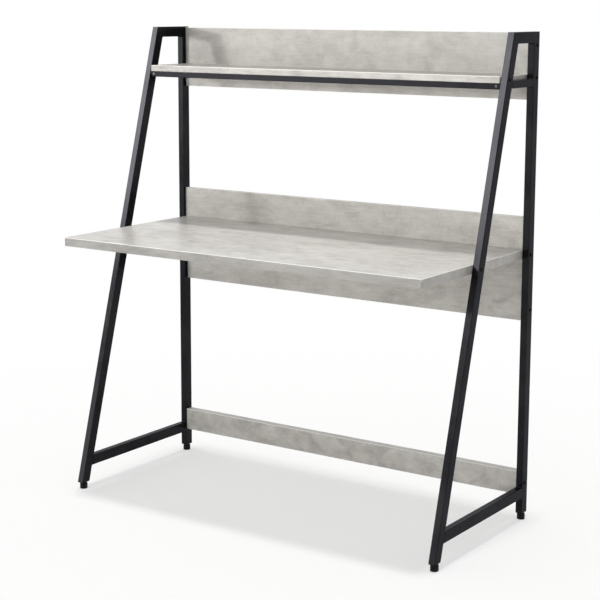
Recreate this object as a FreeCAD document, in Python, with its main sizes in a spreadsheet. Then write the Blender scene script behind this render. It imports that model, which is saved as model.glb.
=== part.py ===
import FreeCAD, Part
import Sketcher
import os

from FreeCAD import Placement, Rotation, Vector

# A ladder desk: two steel side frames of rectangular tube carry a desktop, an upper shelf and four
# narrow boards. Millimetres, +Z up, the user sits on the -Y side. The origin lies on the floor, in the
# middle of the desk's width and depth. Every sketch is drawn in its own body, where y = 0 is the rear
# face of the posts and the front is negative, and the body is then placed.

doc = FreeCAD.newDocument("LadderDesk")

# ---------------------------------------------------------------------------------------------------
# Driving sizes

SIZES = [
    # whole desk
    ("overall_width", 1200, "outer face to outer face of the side frames"),
    ("overall_depth", 572, "rear face of the posts to the front edge of the desktop"),
    ("frame_height", 1338, "floor to the top of the side frames"),
    # side frames
    ("leg_top_depth", 147, "rear face of the post to the front of the leg, at the frame's top"),
    ("leg_foot_depth", 517, "the same, where the leg's tube ends above its foot"),
    ("tube_width", 20, "across the desk"),
    ("tube_depth", 30, "in the plane of the side frame"),
    ("tube_wall", 1.5, "wall of every frame tube"),
    ("tube_corner", 2, "outer corner radius of every frame tube"),
    ("tube_end_height", 21, "floor to the cut ends of the legs and posts"),
    ("shelf_bar_height", 20, "square tube below each end of the shelf"),
    ("shelf_bar_rise", 6, "top of that tube above the shelf's underside"),
    ("foot_bar_top", 94, "floor to the top of the low bar"),
    # boards
    ("board_gap", 0.5, "end of a board to the tube beside it"),
    ("board_edge", 0.8, "bevel of the banded edges"),
    ("desktop_top", 755, "floor to the writing surface"),
    ("desktop_thickness", 25, ""),
    ("desktop_rear", 4, "rear edge of the desktop in front of the posts' rear"),
    ("shelf_drop", 112, "upper surface of the shelf below the frame's top"),
    ("shelf_thickness", 18, ""),
    ("shelf_front", 184, "rear face of the posts to the shelf's front edge"),
    ("shelf_gap", 1.5, "end of the shelf to the leg beside it"),
    ("panel_thickness", 12, "upper back panel, backsplash and modesty panel"),
    ("panel_rear", 4, "rear of the upper and modesty panels in front of the posts' rear"),
    ("upper_panel_drop", 3, "top of the upper back panel below the frame's top"),
    ("upper_panel_below", 68, "bottom of the upper back panel below the shelf's upper surface"),
    ("backsplash_height", 90, "above the desktop"),
    ("backsplash_rear", 10.5, "rear of the backsplash in front of the posts' rear"),
    ("modesty_height", 171, "below the desktop"),
    ("stretcher_thickness", 25, ""),
    ("stretcher_height", 66, ""),
    ("stretcher_top", 138, "floor to the top of the lower stretcher"),
    # front rail under the shelf
    ("rail_height", 16, ""),
    ("rail_depth", 16, ""),
    ("rail_wall", 1.2, ""),
    ("rail_corner", 1.5, "outer corner radius"),
    ("rail_setback", 2, "face of the rail behind the shelf's front edge"),
    ("rail_gap", 0.3, "end of the rail to the leg, and the rail's wall to its tab"),
    ("tab_length", 25, "how far a tab reaches into the rail"),
    ("tab_height", 12, ""),
    ("tab_thickness", 3, ""),
    ("rail_screw_inset", 12, "leg to the axis of the rail's screw"),
    ("rail_screw_diameter", 4, ""),
    ("rail_screw_length", 7, "under the head"),
    ("rail_screw_head", 7, "head diameter"),
    ("rail_screw_head_height", 2.2, ""),
    # bolts through the tubes into threaded inserts in the thick boards: desktop, shelf and stretcher
    ("bolt_diameter", 6, ""),
    ("bolt_head", 10.5, "head diameter"),
    ("bolt_reach", 13, "length of a bolt inside its insert"),
    ("insert_length", 15, ""),
    ("insert_wall", 1.9, "insert's outer radius less its thread's radius"),
    ("head_height", 2.8, "of a bolt or a panel screw"),
    ("hole_play", 0.25, "radial, of a bolt or a screw in a steel tube"),
    ("fit_clearance", 0.05, "radial, of a thread, insert, dowel or stud in its hole"),
    # screws through the posts straight into the thin panels
    ("panel_screw_diameter", 5, ""),
    ("panel_screw_head", 9.5, "head diameter"),
    ("panel_screw_reach", 30, "length of a screw inside its panel"),
    ("upper_screw_drop", 36, "upper screw of the upper back panel below the frame's top"),
    ("modesty_screw_rise", 31, "screw above the bottom edge of the modesty panel"),
    # dowels between boards
    ("dowel_diameter", 6, ""),
    ("dowel_length", 28, ""),
    ("dowel_in_desktop", 10, "the rest is in the upright board"),
    ("dowel_in_panel", 8, "of the shelf's dowels; the rest is in the shelf"),
    ("dowel_spacing", 380, "at the backsplash and the modesty panel"),
    ("shelf_dowel_spacing", 400, ""),
    # levelling feet
    ("foot_diameter", 22, "pad on the floor"),
    ("foot_pad_height", 14.5, ""),
    ("foot_neck_diameter", 13, ""),
    ("foot_neck_height", 3, ""),
    ("foot_floor", 3, "plastic below the stud"),
    ("stud_diameter", 8, ""),
    ("stud_reach", 16, "thread above the tube's end"),
    ("plug_flange", 1.5, "rim of the plug below the tube's end"),
    ("plug_height", 20, "plug inside the tube"),
    ("plug_clearance", 0.1, "plug to the tube's wall"),
]


def make_sheet():
    """Write the driving sizes to the document's spreadsheet, one alias each."""
    table = doc.addObject("Spreadsheet::Sheet", "Sizes")
    for row, (name, value, note) in enumerate(SIZES, start=1):
        table.set(f"A{row}", name)
        table.set(f"B{row}", str(value))
        table.set(f"C{row}", note)
        table.setAlias(f"B{row}", name)
    doc.recompute()
    return table


sheet = make_sheet()


def size(name):
    """The expression that reads one driving size."""
    return f"Sizes.{name}"


def number(expression):
    """The present value of an expression, as a plain number."""
    value = sheet.evalExpression(expression)
    return float(getattr(value, "Value", value))


# ---------------------------------------------------------------------------------------------------
# Places that several pieces share, as expressions of the driving sizes

HEIGHT = size("frame_height")
WALL = size("tube_wall")
WIDTH = size("tube_width")
DEPTH = size("tube_depth")
TUBE_END = size("tube_end_height")
HALF_WIDTH = f"{size('overall_width')} / 2"
INNER_FACE = f"({HALF_WIDTH} - {WIDTH})"
FRAME_X = f"({HALF_WIDTH} - {WIDTH} / 2)"
REAR_Y = f"({size('overall_depth')} / 2)"

LEAN = f"(({size('leg_foot_depth')} - {size('leg_top_depth')}) / ({HEIGHT} - {TUBE_END}))"
SLANT = f"sqrt(1 + {LEAN}^2)"
LEG_DEPTH = f"({DEPTH} * {SLANT})"
LEG_WALL = f"({WALL} * {SLANT})"

DESKTOP_UNDER = f"({size('desktop_top')} - {size('desktop_thickness')})"
DESKTOP_MIDDLE = f"({size('desktop_top')} - {size('desktop_thickness')} / 2)"
SHELF_TOP = f"({HEIGHT} - {size('shelf_drop')})"
SHELF_UNDER = f"({SHELF_TOP} - {size('shelf_thickness')})"
SHELF_MIDDLE = f"({SHELF_TOP} - {size('shelf_thickness')} / 2)"
SHELF_BAR_TOP = f"({SHELF_UNDER} + {size('shelf_bar_rise')})"
PANEL_FRONT = f"({size('panel_rear')} + {size('panel_thickness')})"
PANEL_MIDDLE = f"({size('panel_rear')} + {size('panel_thickness')} / 2)"
BACKSPLASH_MIDDLE = f"({size('backsplash_rear')} + {size('panel_thickness')} / 2)"
UPPER_SCREW_Z = f"({HEIGHT} - {size('upper_screw_drop')})"
MODESTY_SCREW_Z = f"({DESKTOP_UNDER} - {size('modesty_height')} + {size('modesty_screw_rise')})"
STRETCHER_MIDDLE = f"({size('stretcher_top')} - {size('stretcher_height')} / 2)"
BOARD_LENGTH = f"(2 * ({INNER_FACE} - {size('board_gap')}))"
SHELF_LENGTH = f"(2 * ({INNER_FACE} - {size('shelf_gap')}))"
RAIL_LENGTH = f"(2 * ({INNER_FACE} - {size('rail_gap')}))"
RAIL_FRONT = f"({size('shelf_front')} - {size('rail_setback')})"
RAIL_MIDDLE = f"({SHELF_UNDER} - {size('rail_height')} / 2)"
RAIL_SCREW_X = f"({INNER_FACE} - {size('rail_screw_inset')})"


def leg_front(height):
    """The y of the leg's front face at a height above the floor."""
    return f"(-{size('leg_top_depth')} - {LEAN} * ({HEIGHT} - ({height})))"


def leg_rear(height):
    """The y of the leg's rear face at a height above the floor."""
    return f"({leg_front(height)} + {LEG_DEPTH})"


def leg_middle(height):
    """The y of the leg's middle line at a height above the floor."""
    return f"({leg_front(height)} + {LEG_DEPTH} / 2)"


# Axes of the bolts and of the panel screws, as y and height, the same on both sides
LEG_AT_DESKTOP = (leg_middle(DESKTOP_MIDDLE), DESKTOP_MIDDLE)
LEG_AT_SHELF = (leg_middle(SHELF_MIDDLE), SHELF_MIDDLE)
POST_AT_DESKTOP = (f"-{DEPTH} / 2", DESKTOP_MIDDLE)
POST_AT_STRETCHER = (f"-{DEPTH} / 2", STRETCHER_MIDDLE)
POST_AT_PANEL_TOP = (f"-{PANEL_MIDDLE}", UPPER_SCREW_Z)
POST_AT_SHELF = (f"-{PANEL_MIDDLE}", SHELF_MIDDLE)
POST_AT_MODESTY = (f"-{PANEL_MIDDLE}", MODESTY_SCREW_Z)


# ---------------------------------------------------------------------------------------------------
# Helpers for bodies, sketches and features

parts = []
SMALLEST_CUT = 1.0  # cubic millimetres


def make_body(label, x="0", y=REAR_Y, z="0"):
    """A body, placed by expressions; its own drawing starts at the posts' rear face."""
    body = doc.addObject("PartDesign::Body", label)
    body.Label = label
    body.setExpression("Placement.Base.x", x)
    body.setExpression("Placement.Base.y", y)
    body.setExpression("Placement.Base.z", z)
    return body


def origin_feature(body, role):
    """One of the body's own origin planes or axes, such as YZ_Plane."""
    return next(item for item in body.Origin.OriginFeatures if item.Role == role)


def make_sketch(body, name, role, offset="0"):
    """An empty sketch on an origin plane of its body, moved along that plane's normal."""
    sketch = body.newObject("Sketcher::SketchObject", f"{body.Name}_{name}")
    sketch.AttachmentSupport = [(origin_feature(body, role), "")]
    sketch.MapMode = "FlatFace"
    sketch.setExpression("AttachmentOffset.Base.z", offset)
    return sketch


def pin_point(sketch, geometry, point, across, up):
    """Hold a point of the sketch at two distances from the sketch's origin."""
    for kind, expression in (("DistanceX", across), ("DistanceY", up)):
        constraint = Sketcher.Constraint(kind, -1, 1, geometry, point, number(expression))
        index = sketch.addConstraint(constraint)
        sketch.setExpression(f"Constraints[{index}]", expression)


def draw_outline(sketch, corners):
    """A closed outline of straight sides through corners given as pairs of expressions."""
    points = [Vector(number(across), number(up), 0) for across, up in corners]
    count = len(points)
    for index in range(count):
        sketch.addGeometry(Part.LineSegment(points[index], points[(index + 1) % count]), False)
    for index in range(count):
        sketch.addConstraint(Sketcher.Constraint("Coincident", index, 2, (index + 1) % count, 1))
    for index, (across, up) in enumerate(corners):
        pin_point(sketch, index, 1, across, up)


def draw_circles(sketch, centres, radius):
    """Circles of one radius at centres given as pairs of expressions."""
    for index, (across, up) in enumerate(centres):
        centre = Vector(number(across), number(up), 0)
        sketch.addGeometry(Part.Circle(centre, Vector(0, 0, 1), number(radius)), False)
        pin_point(sketch, index, 3, across, up)
        circle = sketch.addConstraint(Sketcher.Constraint("Radius", index, number(radius)))
        sketch.setExpression(f"Constraints[{circle}]", radius)


def rectangle(left, right, low, high):
    """Four corners of an upright rectangle."""
    return [(left, low), (right, low), (right, high), (left, high)]


def add_pad(body, sketch, length, symmetric=True):
    """Extrude a sketch, by default to both sides of its plane."""
    pad = body.newObject("PartDesign::Pad", f"{sketch.Name}_pad")
    pad.Profile = sketch
    pad.SideType = "Symmetric" if symmetric else "One side"
    pad.setExpression("Length", length)
    doc.recompute()
    return pad


def add_pocket(body, sketch, depth, symmetric=True, along_normal=False):
    """Cut a sketch into the body, by default to both sides of its plane, and prove that it cut."""
    before = body.Shape.Volume
    pocket = body.newObject("PartDesign::Pocket", f"{sketch.Name}_pocket")
    pocket.Profile = sketch
    pocket.SideType = "Symmetric" if symmetric else "One side"
    pocket.Reversed = along_normal
    pocket.setExpression("Length", depth)
    prove_cut(body, before, pocket)
    return pocket


def prove_cut(body, before, feature):
    """Stop unless the newest feature took material away from its body."""
    doc.recompute()
    if before - body.Shape.Volume < SMALLEST_CUT:
        raise RuntimeError(f"{feature.Name} cuts nothing")


def add_mirror(body, features, role):
    """Mirror features of the body in one of its origin planes."""
    mirror = body.newObject("PartDesign::Mirrored", f"{features[0].Name}_mirror")
    mirror.Originals = features
    mirror.MirrorPlane = (origin_feature(body, role), [""])
    body.Tip = mirror
    doc.recompute()
    return mirror


def edges_along(shape, direction):
    """Names of the straight edges that run along a direction."""
    names = []
    for index, edge in enumerate(shape.Edges, start=1):
        if edge.Curve.TypeId != "Part::GeomLine":
            continue
        run = edge.Curve.Direction
        if run.cross(direction).Length < 1e-6:
            names.append(f"Edge{index}")
    return names


def add_fillet(body, base, edge_names, radius):
    """Round the named edges of a feature."""
    fillet = body.newObject("PartDesign::Fillet", f"{base.Name}_fillet")
    fillet.Base = (base, edge_names)
    fillet.setExpression("Radius", radius)
    doc.recompute()
    return fillet


def add_chamfer(body, base, edge_names, width):
    """Bevel the named edges of a feature."""
    chamfer = body.newObject("PartDesign::Chamfer", f"{base.Name}_chamfer")
    chamfer.Base = (base, edge_names)
    chamfer.setExpression("Size", width)
    doc.recompute()
    return chamfer


def keep(body):
    """Count a finished object among the parts that are written out."""
    parts.append(body)
    return body


# ---------------------------------------------------------------------------------------------------
# Side frames: rectangular tube, mitred at the two top corners and butt welded elsewhere

X_AXIS = Vector(1, 0, 0)
Y_AXIS = Vector(0, 1, 0)
Z_AXIS = Vector(0, 0, 1)
SIDES = (("left", f"-{FRAME_X}"), ("right", FRAME_X))


def lean_direction():
    """Unit vector up the leaning leg."""
    return Vector(0, number(LEAN), 1).normalize()


def make_tube(label, x, outline, bore, run):
    """A hollow tube from its side outline; the bore's outline runs out through both ends."""
    body = make_body(label, x)
    side = make_sketch(body, "side", "YZ_Plane")
    draw_outline(side, outline)
    solid = add_pad(body, side, WIDTH)
    add_fillet(body, solid, edges_along(solid.Shape, run), size("tube_corner"))
    hollow = make_sketch(body, "bore", "YZ_Plane")
    draw_outline(hollow, bore)
    add_pocket(body, hollow, f"{WIDTH} - 2 * {WALL}")
    return body


def drill_tube(body, centres, diameter):
    """Holes for bolts or screws right through a tube, across the desk."""
    holes = make_sketch(body, f"{diameter}_holes", "YZ_Plane")
    draw_circles(holes, centres, f"{size(diameter)} / 2 + {size('hole_play')}")
    add_pocket(body, holes, f"2 * {WIDTH}")


MITRE_FRONT = [(leg_front(HEIGHT), HEIGHT), (leg_rear(f"{HEIGHT} - {DEPTH}"), f"{HEIGHT} - {DEPTH}")]
MITRE_REAR = [(f"-{DEPTH}", f"{HEIGHT} - {DEPTH}"), ("0", HEIGHT)]
BELOW_END = f"{TUBE_END} - {DEPTH}"
ABOVE_TOP = f"{HEIGHT} + {DEPTH}"


def make_front_leg(side, x):
    """Leaning tube, cut level above its foot and mitred at the top."""
    outline = [(leg_front(TUBE_END), TUBE_END), (leg_rear(TUBE_END), TUBE_END)]
    outline += [MITRE_FRONT[1], MITRE_FRONT[0]]
    bore = []
    for height in (BELOW_END, ABOVE_TOP):
        bore.append((f"{leg_front(height)} + {LEG_WALL}", height))
    for height in (ABOVE_TOP, BELOW_END):
        bore.append((f"{leg_rear(height)} - {LEG_WALL}", height))
    leg = make_tube(f"{side}_front_leg", x, outline, bore, lean_direction())
    drill_tube(leg, [LEG_AT_DESKTOP, LEG_AT_SHELF], "bolt_diameter")
    return keep(leg)


def make_rear_post(side, x):
    """Upright tube, mitred at the top."""
    outline = [(f"-{DEPTH}", TUBE_END), ("0", TUBE_END), MITRE_REAR[1], MITRE_REAR[0]]
    bore = rectangle(f"-{DEPTH} + {WALL}", f"-{WALL}", BELOW_END, ABOVE_TOP)
    post = make_tube(f"{side}_rear_post", x, outline, bore, Z_AXIS)
    drill_tube(post, [POST_AT_DESKTOP, POST_AT_STRETCHER], "bolt_diameter")
    drill_tube(post, [POST_AT_PANEL_TOP, POST_AT_SHELF, POST_AT_MODESTY], "panel_screw_diameter")
    return keep(post)


def make_top_bar(side, x):
    """Level tube between the two mitres."""
    outline = [MITRE_FRONT[0], MITRE_FRONT[1], MITRE_REAR[0], MITRE_REAR[1]]
    under = f"{HEIGHT} - {DEPTH} + {WALL}"
    bore = rectangle(f"{leg_front(HEIGHT)} - {DEPTH}", DEPTH, under, f"{HEIGHT} - {WALL}")
    return keep(make_tube(f"{side}_top_bar", x, outline, bore, Y_AXIS))


def make_cross_bar(label, x, top, depth):
    """Level tube butted between the leaning leg and the post."""
    low = f"({top} - {depth})"
    outline = [(leg_rear(low), low), (f"-{DEPTH}", low), (f"-{DEPTH}", top), (leg_rear(top), top)]
    bore = rectangle(f"{leg_front(low)} - {DEPTH}", "0", f"{low} + {WALL}", f"{top} - {WALL}")
    return keep(make_tube(label, x, outline, bore, Y_AXIS))


def make_side_frames():
    """The five tubes of each side frame."""
    for side, x in SIDES:
        make_front_leg(side, x)
        make_rear_post(side, x)
        make_top_bar(side, x)
        make_cross_bar(f"{side}_shelf_bar", x, SHELF_BAR_TOP, size("shelf_bar_height"))
        make_cross_bar(f"{side}_foot_bar", x, size("foot_bar_top"), DEPTH)


# ---------------------------------------------------------------------------------------------------
# Boards: laminated board with banded edges, drilled in its ends for threaded inserts or for screws

INSERT_HOLE = f"({size('bolt_diameter')} / 2 + {size('insert_wall')} + {size('fit_clearance')})"
INSERT_HOLE_DEPTH = size("insert_length")
PANEL_HOLE = f"({size('panel_screw_diameter')} / 2 + {size('fit_clearance')})"
PANEL_HOLE_DEPTH = f"({size('panel_screw_reach')} + {size('fit_clearance')})"
DOWEL_HOLE = f"({size('dowel_diameter')} / 2 + {size('fit_clearance')})"
BACKSPLASH_DOWELS = [f"{step} * {size('dowel_spacing')}" for step in (-1, 0, 1)]
MODESTY_DOWELS = [f"{step} * {size('dowel_spacing')}" for step in (-1, 1)]
SHELF_DOWELS = [f"{step} * {size('shelf_dowel_spacing')}" for step in (-1, 0, 1)]


def make_board(label, length, rear, front, low, high):
    """A board from its end outline, with every edge bevelled a little."""
    body = make_body(label)
    end = make_sketch(body, "end", "YZ_Plane")
    draw_outline(end, rectangle(f"-({front})", f"-({rear})", low, high))
    block = add_pad(body, end, length)
    names = [f"Edge{index}" for index in range(1, len(block.Shape.Edges) + 1)]
    add_chamfer(body, block, names, size("board_edge"))
    return body


def drill_ends(body, length, centres, radius, depth):
    """Blind holes in both ends of a board."""
    holes = make_sketch(body, "end_holes", "YZ_Plane", f"{length} / 2")
    draw_circles(holes, centres, radius)
    pocket = add_pocket(body, holes, depth, symmetric=False)
    add_mirror(body, [pocket], "YZ_Plane")


def drill_dowels(body, plane, places, level, height, depth, into_normal):
    """Blind dowel holes in a row; the level and the height are along and across the plane's normal."""
    holes = make_sketch(body, "dowel_holes", plane, level)
    draw_circles(holes, [(place, height) for place in places], DOWEL_HOLE)
    add_pocket(body, holes, depth, symmetric=False, along_normal=into_normal)


IN_DESKTOP = f"({size('dowel_in_desktop')} + {size('fit_clearance')})"
ABOVE_DESKTOP = f"({size('dowel_length')} - {size('dowel_in_desktop')} + {size('fit_clearance')})"
IN_PANEL = f"({size('dowel_in_panel')} + {size('fit_clearance')})"
IN_SHELF = f"({size('dowel_length')} - {size('dowel_in_panel')} + {size('fit_clearance')})"


def make_desktop():
    """The writing surface, bolted to the legs and the posts through its ends."""
    top = size("desktop_top")
    front = size("overall_depth")
    board = make_board("desktop", BOARD_LENGTH, size("desktop_rear"), front, DESKTOP_UNDER, top)
    drill_ends(board, BOARD_LENGTH, [LEG_AT_DESKTOP, POST_AT_DESKTOP], INSERT_HOLE, INSERT_HOLE_DEPTH)
    splash, modesty = f"-{BACKSPLASH_MIDDLE}", f"-{PANEL_MIDDLE}"
    drill_dowels(board, "XY_Plane", BACKSPLASH_DOWELS, top, splash, IN_DESKTOP, False)
    drill_dowels(board, "XY_Plane", MODESTY_DOWELS, DESKTOP_UNDER, modesty, IN_DESKTOP, True)
    return keep(board)


def make_upper_shelf():
    """The shelf, bolted to the legs through its ends and dowelled to the panel behind it."""
    front = size("shelf_front")
    board = make_board("upper_shelf", SHELF_LENGTH, PANEL_FRONT, front, SHELF_UNDER, SHELF_TOP)
    drill_ends(board, SHELF_LENGTH, [LEG_AT_SHELF], INSERT_HOLE, INSERT_HOLE_DEPTH)
    drill_dowels(board, "XZ_Plane", SHELF_DOWELS, PANEL_FRONT, SHELF_MIDDLE, IN_SHELF, True)
    return keep(board)


def make_upper_back_panel():
    """The panel behind the shelf, screwed to the posts through its ends."""
    low = f"({SHELF_TOP} - {size('upper_panel_below')})"
    high = f"({HEIGHT} - {size('upper_panel_drop')})"
    board = make_board("upper_back_panel", BOARD_LENGTH, size("panel_rear"), PANEL_FRONT, low, high)
    drill_ends(board, BOARD_LENGTH, [POST_AT_PANEL_TOP, POST_AT_SHELF], PANEL_HOLE, PANEL_HOLE_DEPTH)
    drill_dowels(board, "XZ_Plane", SHELF_DOWELS, PANEL_FRONT, SHELF_MIDDLE, IN_PANEL, False)
    return keep(board)


def make_backsplash():
    """The low board that stands on the rear of the desktop on dowels."""
    rear = size("backsplash_rear")
    low = size("desktop_top")
    front = f"({rear} + {size('panel_thickness')})"
    high = f"({low} + {size('backsplash_height')})"
    board = make_board("backsplash", BOARD_LENGTH, rear, front, low, high)
    splash = f"-{BACKSPLASH_MIDDLE}"
    drill_dowels(board, "XY_Plane", BACKSPLASH_DOWELS, low, splash, ABOVE_DESKTOP, True)
    return keep(board)


def make_modesty_panel():
    """The board below the rear of the desktop, located by dowels and screwed to the posts."""
    low = f"({DESKTOP_UNDER} - {size('modesty_height')})"
    board = make_board("modesty_panel", BOARD_LENGTH, size("panel_rear"), PANEL_FRONT, low, DESKTOP_UNDER)
    drill_ends(board, BOARD_LENGTH, [POST_AT_MODESTY], PANEL_HOLE, PANEL_HOLE_DEPTH)
    drill_dowels(board, "XY_Plane", MODESTY_DOWELS, DESKTOP_UNDER, f"-{PANEL_MIDDLE}", ABOVE_DESKTOP, False)
    return keep(board)


def make_lower_stretcher():
    """The board between the posts near the floor, on the posts' middle line."""
    rear = f"(({DEPTH} - {size('stretcher_thickness')}) / 2)"
    front = f"(({DEPTH} + {size('stretcher_thickness')}) / 2)"
    top = size("stretcher_top")
    low = f"({top} - {size('stretcher_height')})"
    board = make_board("lower_stretcher", BOARD_LENGTH, rear, front, low, top)
    drill_ends(board, BOARD_LENGTH, [POST_AT_STRETCHER], INSERT_HOLE, INSERT_HOLE_DEPTH)
    return keep(board)


# ---------------------------------------------------------------------------------------------------
# Front rail under the shelf: a steel tube that slips over a tab on each leg and takes one screw there


def make_front_rail():
    """The rail that the front of the shelf rests on."""
    low = f"({SHELF_UNDER} - {size('rail_height')})"
    rear = f"-({RAIL_FRONT} - {size('rail_depth')})"
    wall = size("rail_wall")
    body = make_body("shelf_front_rail")
    end = make_sketch(body, "end", "YZ_Plane")
    draw_outline(end, rectangle(f"-{RAIL_FRONT}", rear, low, SHELF_UNDER))
    bar = add_pad(body, end, RAIL_LENGTH)
    add_fillet(body, bar, edges_along(bar.Shape, X_AXIS), size("rail_corner"))
    hollow = make_sketch(body, "bore", "YZ_Plane")
    depth = (f"-{RAIL_FRONT} + {wall}", f"{rear} - {wall}")
    draw_outline(hollow, rectangle(*depth, f"{low} + {wall}", f"{SHELF_UNDER} - {wall}"))
    add_pocket(body, hollow, f"2 * {RAIL_LENGTH}")
    holes = make_sketch(body, "screw_holes", "XZ_Plane", RAIL_FRONT)
    radius = f"{size('rail_screw_diameter')} / 2 + {size('hole_play')}"
    draw_circles(holes, [(f"-{RAIL_SCREW_X}", RAIL_MIDDLE), (RAIL_SCREW_X, RAIL_MIDDLE)], radius)
    add_pocket(body, holes, f"{size('rail_depth')} / 2", symmetric=False)
    return keep(body)


def make_rail_tab():
    """A tab welded to the leg, inside the rail's front wall, drilled for the rail's screw."""
    body = make_body("rail_tab_master", "0", "0")
    side = make_sketch(body, "side", "XZ_Plane")
    half = f"{size('tab_height')} / 2"
    draw_outline(side, rectangle("0", size("tab_length"), f"-{half}", half))
    add_pad(body, side, size("tab_thickness"))
    hole = make_sketch(body, "screw_hole", "XZ_Plane")
    radius = f"{size('rail_screw_diameter')} / 2 + {size('fit_clearance')}"
    draw_circles(hole, [(size("rail_screw_inset"), "0")], radius)
    add_pocket(body, hole, f"2 * {size('tab_thickness')}")
    return body


# ---------------------------------------------------------------------------------------------------
# Fasteners: one master of each kind, and a group of placed copies of it for each node


def add_revolution(body, sketch, role):
    """Turn a half outline through a full circle about one of the body's axes."""
    turned = body.newObject("PartDesign::Revolution", f"{sketch.Name}_turned")
    turned.Profile = sketch
    turned.ReferenceAxis = (origin_feature(body, role), [""])
    turned.Angle = 360
    doc.recompute()
    return turned


def make_turned(label, outline):
    """A solid of revolution about the x axis, from a half outline in the x and z directions."""
    body = make_body(label, "0", "0")
    half = make_sketch(body, "half", "XZ_Plane")
    draw_outline(half, outline)
    add_revolution(body, half, "X_Axis")
    return body


def make_headed(label, diameter, length, head, height):
    """A bolt or screw along x; its head's underside is at x = 0 and its shank points to +x."""
    shank = f"({size(diameter)} / 2)"
    rim = f"({size(head)} / 2)"
    outline = [(length, "0"), (length, shank), ("0", shank), ("0", rim)]
    outline += [(f"-{size(height)}", rim), (f"-{size(height)}", "0")]
    return make_turned(label, outline)


def make_insert():
    """A threaded insert along x: its mouth is at x = 0 and it reaches to +x."""
    bore = f"({size('bolt_diameter')} / 2 + {size('fit_clearance')})"
    outer = f"({size('bolt_diameter')} / 2 + {size('insert_wall')})"
    return make_turned("insert_master", rectangle("0", size("insert_length"), bore, outer))


def make_dowel():
    """A wooden dowel along x, from x = 0."""
    radius = f"{size('dowel_diameter')} / 2"
    return make_turned("dowel_master", rectangle("0", size("dowel_length"), "0", radius))


def copy_to(label, master, seats):
    """One node of placed copies of a master; a seat is x, y, z and the rotation of its axis."""
    links = []
    for index, (x, y, z, turn) in enumerate(seats, start=1):
        link = doc.addObject("App::Link", f"{label}_{index}")
        link.LinkedObject = master
        link.Placement = Placement(Vector(), turn)
        link.setExpression("Placement.Base.x", x)
        link.setExpression("Placement.Base.y", y)
        link.setExpression("Placement.Base.z", z)
        links.append(link)
    group = doc.addObject("Part::Compound", label)
    group.Label = label
    group.Links = links
    return keep(group)


INWARD = {"left": Rotation(), "right": Rotation(Z_AXIS, 180)}
FORWARD = Rotation(Z_AXIS, -90)
BACKWARD = Rotation(Z_AXIS, 90)
DOWNWARD = Rotation(Y_AXIS, 90)


def seats_on_both_sides(distance, places):
    """The same places on the left and on the right, with the piece's axis pointing inward."""
    seats = []
    for side, sign in (("left", "-"), ("right", "")):
        for y, z in places:
            seats.append((f"{sign}{distance}", f"{REAR_Y} + ({y})", z, INWARD[side]))
    return seats


def make_end_fasteners():
    """Bolts with their inserts, and panel screws, through the tubes into the ends of the boards."""
    outer = f"({HALF_WIDTH})"
    board_end = f"({INNER_FACE} - {size('board_gap')})"
    shelf_end = f"({INNER_FACE} - {size('shelf_gap')})"
    bolt_length = f"({WIDTH} + {size('board_gap')} + {size('bolt_reach')})"
    screw_length = f"({WIDTH} + {size('board_gap')} + {size('panel_screw_reach')})"
    bolt = make_headed("bolt_master", "bolt_diameter", bolt_length, "bolt_head", "head_height")
    screw = make_headed(
        "screw_master", "panel_screw_diameter", screw_length, "panel_screw_head", "head_height"
    )
    at_boards = [LEG_AT_DESKTOP, POST_AT_DESKTOP, POST_AT_STRETCHER]
    at_panels = [POST_AT_PANEL_TOP, POST_AT_SHELF, POST_AT_MODESTY]
    copy_to("board_bolts", bolt, seats_on_both_sides(outer, at_boards + [LEG_AT_SHELF]))
    insert_seats = seats_on_both_sides(board_end, at_boards) + seats_on_both_sides(shelf_end, [LEG_AT_SHELF])
    copy_to("board_inserts", make_insert(), insert_seats)
    copy_to("panel_screws", screw, seats_on_both_sides(outer, at_panels))


def make_rail_fasteners():
    """The tabs inside the front rail and the screws that hold the rail to them."""
    rail_y = f"{REAR_Y} - {RAIL_FRONT}"
    tab_y = f"{rail_y} + {size('rail_wall')} + {size('rail_gap')} + {size('tab_thickness')} / 2"
    tabs = [(f"-{INNER_FACE}", tab_y, RAIL_MIDDLE, INWARD["left"])]
    tabs.append((INNER_FACE, tab_y, RAIL_MIDDLE, INWARD["right"]))
    copy_to("rail_tabs", make_rail_tab(), tabs)
    length = size("rail_screw_length")
    screw = make_headed(
        "rail_screw_master", "rail_screw_diameter", length, "rail_screw_head", "rail_screw_head_height"
    )
    seats = [(f"{sign}{RAIL_SCREW_X}", rail_y, RAIL_MIDDLE, BACKWARD) for sign in ("-", "")]
    copy_to("rail_screws", screw, seats)


def make_board_fasteners():
    """Dowels between the desktop and its two panels, and between the shelf and the panel behind it."""
    dowel = make_dowel()
    above = f"{size('desktop_top')} - {size('dowel_in_desktop')} + {size('dowel_length')}"
    below = f"{DESKTOP_UNDER} + {size('dowel_in_desktop')}"
    behind = f"{REAR_Y} - {PANEL_FRONT} + {size('dowel_in_panel')}"
    backsplash = [(place, f"{REAR_Y} - {BACKSPLASH_MIDDLE}", above, DOWNWARD) for place in BACKSPLASH_DOWELS]
    modesty = [(place, f"{REAR_Y} - {PANEL_MIDDLE}", below, DOWNWARD) for place in MODESTY_DOWELS]
    shelf = [(place, behind, SHELF_MIDDLE, FORWARD) for place in SHELF_DOWELS]
    copy_to("backsplash_dowels", dowel, backsplash)
    copy_to("modesty_dowels", dowel, modesty)
    copy_to("shelf_dowels", dowel, shelf)


# ---------------------------------------------------------------------------------------------------
# Levelling feet: a plastic pad on a steel stud that screws into a plug in the tube's end

STUD_HOLE = f"({size('stud_diameter')} / 2 + {size('fit_clearance')})"


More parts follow.
